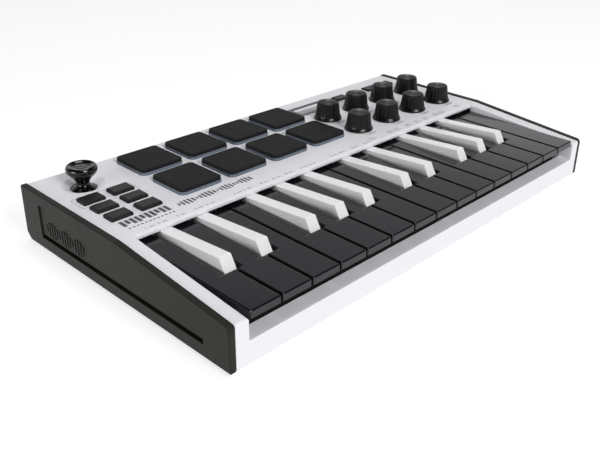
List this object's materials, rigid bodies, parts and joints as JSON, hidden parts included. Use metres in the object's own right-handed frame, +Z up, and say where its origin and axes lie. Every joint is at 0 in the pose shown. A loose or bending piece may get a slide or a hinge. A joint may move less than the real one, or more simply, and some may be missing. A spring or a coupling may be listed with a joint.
{
  "type": "midi keyboard",
  "caption": "Compact desktop MIDI controller with two octaves of mini keys, drum pads, encoder knobs, buttons, a thumb joystick and a small display.",
  "frame": {"origin": "on the surface that the feet stand on, below the middle of the case", "axes": "+X to the player's right, +Y from the player to the back edge, +Z up"},
  "size_m": [0.318, 0.178, 0.0466],
  "materials": {
    "case_white": "fine satin moulded grain",
    "panel_black": "satin",
    "key_black": "high gloss",
    "key_white": "gloss",
    "pad_rubber": "matte silicone",
    "button_grey": "matte",
    "knob_black": "satin",
    "joystick_black": "gloss",
    "chassis_black": "matte",
    "electronics": "circuit board",
    "screw_steel": "zinc plated",
    "foot_rubber": "matte"
  },
  "bodies": {
    "case": {"top_case": "case_white", "bottom_case": "case_white", "end_panels": "panel_black", "keybed_chassis": "chassis_black", "electronics": "electronics", "case_screws": "screw_steel", "rubber_feet": "foot_rubber"},
    "natural_key_01": {"natural_key_01": "key_black"},
    "accidental_key_01": {"accidental_key_01": "key_white"},
    "natural_key_02": {"natural_key_02": "key_black"},
    "accidental_key_02": {"accidental_key_02": "key_white"},
    "natural_key_03": {"natural_key_03": "key_black"},
    "natural_key_04": {"natural_key_04": "key_black"},
    "accidental_key_03": {"accidental_key_03": "key_white"},
    "natural_key_05": {"natural_key_05": "key_black"},
    "accidental_key_04": {"accidental_key_04": "key_white"},
    "natural_key_06": {"natural_key_06": "key_black"},
    "accidental_key_05": {"accidental_key_05": "key_white"},
    "natural_key_07": {"natural_key_07": "key_black"},
    "natural_key_08": {"natural_key_08": "key_black"},
    "accidental_key_06": {"accidental_key_06": "key_white"},
    "natural_key_09": {"natural_key_09": "key_black"},
    "accidental_key_07": {"accidental_key_07": "key_white"},
    "natural_key_10": {"natural_key_10": "key_black"},
    "natural_key_11": {"natural_key_11": "key_black"},
    "accidental_key_08": {"accidental_key_08": "key_white"},
    "natural_key_12": {"natural_key_12": "key_black"},
    "accidental_key_09": {"accidental_key_09": "key_white"},
    "natural_key_13": {"natural_key_13": "key_black"},
    "accidental_key_10": {"accidental_key_10": "key_white"},
    "natural_key_14": {"natural_key_14": "key_black"},
    "natural_key_15": {"natural_key_15": "key_black"},
    "drum_pad_1": {"drum_pad_1": "pad_rubber"},
    "drum_pad_2": {"drum_pad_2": "pad_rubber"},
    "drum_pad_3": {"drum_pad_3": "pad_rubber"},
    "drum_pad_4": {"drum_pad_4": "pad_rubber"},
    "drum_pad_5": {"drum_pad_5": "pad_rubber"},
    "drum_pad_6": {"drum_pad_6": "pad_rubber"},
    "drum_pad_7": {"drum_pad_7": "pad_rubber"},
    "drum_pad_8": {"drum_pad_8": "pad_rubber"},
    "left_button_1": {"left_button_1": "button_grey"},
    "left_button_2": {"left_button_2": "button_grey"},
    "left_button_3": {"left_button_3": "button_grey"},
    "left_button_4": {"left_button_4": "button_grey"},
    "left_button_5": {"left_button_5": "button_grey"},
    "left_button_6": {"left_button_6": "button_grey"},
    "right_button_1": {"right_button_1": "button_grey"},
    "right_button_2": {"right_button_2": "button_grey"},
    "right_button_3": {"right_button_3": "button_grey"},
    "right_button_4": {"right_button_4": "button_grey"},
    "knob_1": {"knob_1": "knob_black"},
    "knob_2": {"knob_2": "knob_black"},
    "knob_3": {"knob_3": "knob_black"},
    "knob_4": {"knob_4": "knob_black"},
    "knob_5": {"knob_5": "knob_black"},
    "knob_6": {"knob_6": "knob_black"},
    "knob_7": {"knob_7": "knob_black"},
    "knob_8": {"knob_8": "knob_black"},
    "joystick_yoke": {"joystick_yoke": "joystick_black"},
    "joystick_stick": {"joystick_stick": "joystick_black"}
  },
  "joints": [
    {"name": "natural_key_01_press", "type": "hinge", "parent": "case", "child": "natural_key_01", "pos_m": [-0.14062, 0.005, 0.0255], "axis": [1, 0, 0], "range_deg": [0, 3], "stiffness_Nm_per_rad": 0.28, "springref_deg": -9.74},
    {"name": "accidental_key_01_press", "type": "hinge", "parent": "case", "child": "accidental_key_01", "pos_m": [-0.1289, 0.005, 0.0255], "axis": [1, 0, 0], "range_deg": [0, 3], "stiffness_Nm_per_rad": 0.28, "springref_deg": -9.74},
    {"name": "natural_key_02_press", "type": "hinge", "parent": "case", "child": "natural_key_02", "pos_m": [-0.11718, 0.005, 0.0255], "axis": [1, 0, 0], "range_deg": [0, 3], "stiffness_Nm_per_rad": 0.28, "springref_deg": -9.74},
    {"name": "accidental_key_02_press", "type": "hinge", "parent": "case", "child": "accidental_key_02", "pos_m": [-0.10546, 0.005, 0.0255], "axis": [1, 0, 0], "range_deg": [0, 3], "stiffness_Nm_per_rad": 0.28, "springref_deg": -9.74},
    {"name": "natural_key_03_press", "type": "hinge", "parent": "case", "child": "natural_key_03", "pos_m": [-0.09374, 0.005, 0.0255], "axis": [1, 0, 0], "range_deg": [0, 3], "stiffness_Nm_per_rad": 0.28, "springref_deg": -9.74},
    {"name": "natural_key_04_press", "type": "hinge", "parent": "case", "child": "natural_key_04", "pos_m": [-0.08231, 0.005, 0.0255], "axis": [1, 0, 0], "range_deg": [0, 3], "stiffness_Nm_per_rad": 0.28, "springref_deg": -9.74},
    {"name": "accidental_key_03_press", "type": "hinge", "parent": "case", "child": "accidental_key_03", "pos_m": [-0.07114, 0.005, 0.0255], "axis": [1, 0, 0], "range_deg": [0, 3], "stiffness_Nm_per_rad": 0.28, "springref_deg": -9.74},
    {"name": "natural_key_05_press", "type": "hinge", "parent": "case", "child": "natural_key_05", "pos_m": [-0.05998, 0.005, 0.0255], "axis": [1, 0, 0], "range_deg": [0, 3], "stiffness_Nm_per_rad": 0.28, "springref_deg": -9.74},
    {"name": "accidental_key_04_press", "type": "hinge", "parent": "case", "child": "accidental_key_04", "pos_m": [-0.04883, 0.005, 0.0255], "axis": [1, 0, 0], "range_deg": [0, 3], "stiffness_Nm_per_rad": 0.28, "springref_deg": -9.74},
    {"name": "natural_key_06_press", "type": "hinge", "parent": "case", "child": "natural_key_06", "pos_m": [-0.03766, 0.005, 0.0255], "axis": [1, 0, 0], "range_deg": [0, 3], "stiffness_Nm_per_rad": 0.28, "springref_deg": -9.74},
    {"name": "accidental_key_05_press", "type": "hinge", "parent": "case", "child": "accidental_key_05", "pos_m": [-0.02651, 0.005, 0.0255], "axis": [1, 0, 0], "range_deg": [0, 3], "stiffness_Nm_per_rad": 0.28, "springref_deg": -9.74},
    {"name": "natural_key_07_press", "type": "hinge", "parent": "case", "child": "natural_key_07", "pos_m": [-0.01534, 0.005, 0.0255], "axis": [1, 0, 0], "range_deg": [0, 3], "stiffness_Nm_per_rad": 0.28, "springref_deg": -9.74},
    {"name": "natural_key_08_press", "type": "hinge", "parent": "case", "child": "natural_key_08", "pos_m": [-0.00391, 0.005, 0.0255], "axis": [1, 0, 0], "range_deg": [0, 3], "stiffness_Nm_per_rad": 0.28, "springref_deg": -9.74},
    {"name": "accidental_key_06_press", "type": "hinge", "parent": "case", "child": "accidental_key_06", "pos_m": [0.00781, 0.005, 0.0255], "axis": [1, 0, 0], "range_deg": [0, 3], "stiffness_Nm_per_rad": 0.28, "springref_deg": -9.74},
    {"name": "natural_key_09_press", "type": "hinge", "parent": "case", "child": "natural_key_09", "pos_m": [0.01953, 0.005, 0.0255], "axis": [1, 0, 0], "range_deg": [0, 3], "stiffness_Nm_per_rad": 0.28, "springref_deg": -9.74},
    {"name": "accidental_key_07_press", "type": "hinge", "parent": "case", "child": "accidental_key_07", "pos_m": [0.03125, 0.005, 0.0255], "axis": [1, 0, 0], "range_deg": [0, 3], "stiffness_Nm_per_rad": 0.28, "springref_deg": -9.74},
    {"name": "natural_key_10_press", "type": "hinge", "parent": "case", "child": "natural_key_10", "pos_m": [0.04297, 0.005, 0.0255], "axis": [1, 0, 0], "range_deg": [0, 3], "stiffness_Nm_per_rad": 0.28, "springref_deg": -9.74},
    {"name": "natural_key_11_press", "type": "hinge", "parent": "case", "child": "natural_key_11", "pos_m": [0.05441, 0.005, 0.0255], "axis": [1, 0, 0], "range_deg": [0, 3], "stiffness_Nm_per_rad": 0.28, "springref_deg": -9.74},
    {"name": "accidental_key_08_press", "type": "hinge", "parent": "case", "child": "accidental_key_08", "pos_m": [0.06556, 0.005, 0.0255], "axis": [1, 0, 0], "range_deg": [0, 3], "stiffness_Nm_per_rad": 0.28, "springref_deg": -9.74},
    {"name": "natural_key_12_press", "type": "hinge", "parent": "case", "child": "natural_key_12", "pos_m": [0.07673, 0.005, 0.0255], "axis": [1, 0, 0], "range_deg": [0, 3], "stiffness_Nm_per_rad": 0.28, "springref_deg": -9.74},
    {"name": "accidental_key_09_press", "type": "hinge", "parent": "case", "child": "accidental_key_09", "pos_m": [0.08789, 0.005, 0.0255], "axis": [1, 0, 0], "range_deg": [0, 3], "stiffness_Nm_per_rad": 0.28, "springref_deg": -9.74},
    {"name": "natural_key_13_press", "type": "hinge", "parent": "case", "child": "natural_key_13", "pos_m": [0.09904, 0.005, 0.0255], "axis": [1, 0, 0], "range_deg": [0, 3], "stiffness_Nm_per_rad": 0.28, "springref_deg": -9.74},
    {"name": "accidental_key_10_press", "type": "hinge", "parent": "case", "child": "accidental_key_10", "pos_m": [0.1102, 0.005, 0.0255], "axis": [1, 0, 0], "range_deg": [0, 3], "stiffness_Nm_per_rad": 0.28, "springref_deg": -9.74},
    {"name": "natural_key_14_press", "type": "hinge", "parent": "case", "child": "natural_key_14", "pos_m": [0.12137, 0.005, 0.0255], "axis": [1, 0, 0], "range_deg": [0, 3], "stiffness_Nm_per_rad": 0.28, "springref_deg": -9.74},
    {"name": "natural_key_15_press", "type": "hinge", "parent": "case", "child": "natural_key_15", "pos_m": [0.1328, 0.005, 0.0255], "axis": [1, 0, 0], "range_deg": [0, 3], "stiffness_Nm_per_rad": 0.28, "springref_deg": -9.74},
    {"name": "drum_pad_1_press", "type": "slide", "parent": "case", "child": "drum_pad_1", "axis": [0, 0, -1], "range_m": [0, 0.001], "stiffness_N_per_m": 3000, "springref_m": -0.0005},
    {"name": "drum_pad_2_press", "type": "slide", "parent": "case", "child": "drum_pad_2", "axis": [0, 0, -1], "range_m": [0, 0.001], "stiffness_N_per_m": 3000, "springref_m": -0.0005},
    {"name": "drum_pad_3_press", "type": "slide", "parent": "case", "child": "drum_pad_3", "axis": [0, 0, -1], "range_m": [0, 0.001], "stiffness_N_per_m": 3000, "springref_m": -0.0005},
    {"name": "drum_pad_4_press", "type": "slide", "parent": "case", "child": "drum_pad_4", "axis": [0, 0, -1], "range_m": [0, 0.001], "stiffness_N_per_m": 3000, "springref_m": -0.0005},
    {"name": "drum_pad_5_press", "type": "slide", "parent": "case", "child": "drum_pad_5", "axis": [0, 0, -1], "range_m": [0, 0.001], "stiffness_N_per_m": 3000, "springref_m": -0.0005},
    {"name": "drum_pad_6_press", "type": "slide", "parent": "case", "child": "drum_pad_6", "axis": [0, 0, -1], "range_m": [0, 0.001], "stiffness_N_per_m": 3000, "springref_m": -0.0005},
    {"name": "drum_pad_7_press", "type": "slide", "parent": "case", "child": "drum_pad_7", "axis": [0, 0, -1], "range_m": [0, 0.001], "stiffness_N_per_m": 3000, "springref_m": -0.0005},
    {"name": "drum_pad_8_press", "type": "slide", "parent": "case", "child": "drum_pad_8", "axis": [0, 0, -1], "range_m": [0, 0.001], "stiffness_N_per_m": 3000, "springref_m": -0.0005},
    {"name": "left_button_1_press", "type": "slide", "parent": "case", "child": "left_button_1", "axis": [0, 0, -1], "range_m": [0, 0.0008], "stiffness_N_per_m": 1500, "springref_m": -0.0005},
    {"name": "left_button_2_press", "type": "slide", "parent": "case", "child": "left_button_2", "axis": [0, 0, -1], "range_m": [0, 0.0008], "stiffness_N_per_m": 1500, "springref_m": -0.0005},
    {"name": "left_button_3_press", "type": "slide", "parent": "case", "child": "left_button_3", "axis": [0, 0, -1], "range_m": [0, 0.0008], "stiffness_N_per_m": 1500, "springref_m": -0.0005},
    {"name": "left_button_4_press", "type": "slide", "parent": "case", "child": "left_button_4", "axis": [0, 0, -1], "range_m": [0, 0.0008], "stiffness_N_per_m": 1500, "springref_m": -0.0005},
    {"name": "left_button_5_press", "type": "slide", "parent": "case", "child": "left_button_5", "axis": [0, 0, -1], "range_m": [0, 0.0008], "stiffness_N_per_m": 1500, "springref_m": -0.0005},
    {"name": "left_button_6_press", "type": "slide", "parent": "case", "child": "left_button_6", "axis": [0, 0, -1], "range_m": [0, 0.0008], "stiffness_N_per_m": 1500, "springref_m": -0.0005},
    {"name": "right_button_1_press", "type": "slide", "parent": "case", "child": "right_button_1", "axis": [0, 0, -1], "range_m": [0, 0.0008], "stiffness_N_per_m": 1500, "springref_m": -0.0005},
    {"name": "right_button_2_press", "type": "slide", "parent": "case", "child": "right_button_2", "axis": [0, 0, -1], "range_m": [0, 0.0008], "stiffness_N_per_m": 1500, "springref_m": -0.0005},
    {"name": "right_button_3_press", "type": "slide", "parent": "case", "child": "right_button_3", "axis": [0, 0, -1], "range_m": [0, 0.0008], "stiffness_N_per_m": 1500, "springref_m": -0.0005},
    {"name": "right_button_4_press", "type": "slide", "parent": "case", "child": "right_button_4", "axis": [0, 0, -1], "range_m": [0, 0.0008], "stiffness_N_per_m": 1500, "springref_m": -0.0005},
    {"name": "knob_1_turn", "type": "hinge", "parent": "case", "child": "knob_1", "pos_m": [0.0471, 0.018, 0.036], "axis": [0, 0, 1], "continuous": true},
    {"name": "knob_2_turn", "type": "hinge", "parent": "case", "child": "knob_2", "pos_m": [0.0768, 0.018, 0.036], "axis": [0, 0, 1], "continuous": true},
    {"name": "knob_3_turn", "type": "hinge", "parent": "case", "child": "knob_3", "pos_m": [0.1065, 0.018, 0.036], "axis": [0, 0, 1], "continuous": true},
    {"name": "knob_4_turn", "type": "hinge", "parent": "case", "child": "knob_4", "pos_m": [0.1362, 0.018, 0.036], "axis": [0, 0, 1], "continuous": true},
    {"name": "knob_5_turn", "type": "hinge", "parent": "case", "child": "knob_5", "pos_m": [0.0471, 0.0466, 0.036], "axis": [0, 0, 1], "continuous": true},
    {"name": "knob_6_turn", "type": "hinge", "parent": "case", "child": "knob_6", "pos_m": [0.0768, 0.0466, 0.036], "axis": [0, 0, 1], "continuous": true},
    {"name": "knob_7_turn", "type": "hinge", "parent": "case", "child": "knob_7", "pos_m": [0.1065, 0.0466, 0.036], "axis": [0, 0, 1], "continuous": true},
    {"name": "knob_8_turn", "type": "hinge", "parent": "case", "child": "knob_8", "pos_m": [0.1362, 0.0466, 0.036], "axis": [0, 0, 1], "continuous": true},
    {"name": "joystick_pitch", "type": "hinge", "parent": "case", "child": "joystick_yoke", "pos_m": [-0.1329, 0.066, 0.0227], "axis": [1, 0, 0], "range_deg": [-12, 12], "stiffness_Nm_per_rad": 0.05},
    {"name": "joystick_roll", "type": "hinge", "parent": "joystick_yoke", "child": "joystick_stick", "pos_m": [-0.1329, 0.066, 0.0227], "axis": [0, 1, 0], "range_deg": [-12, 12], "stiffness_Nm_per_rad": 0.05}
  ]
}
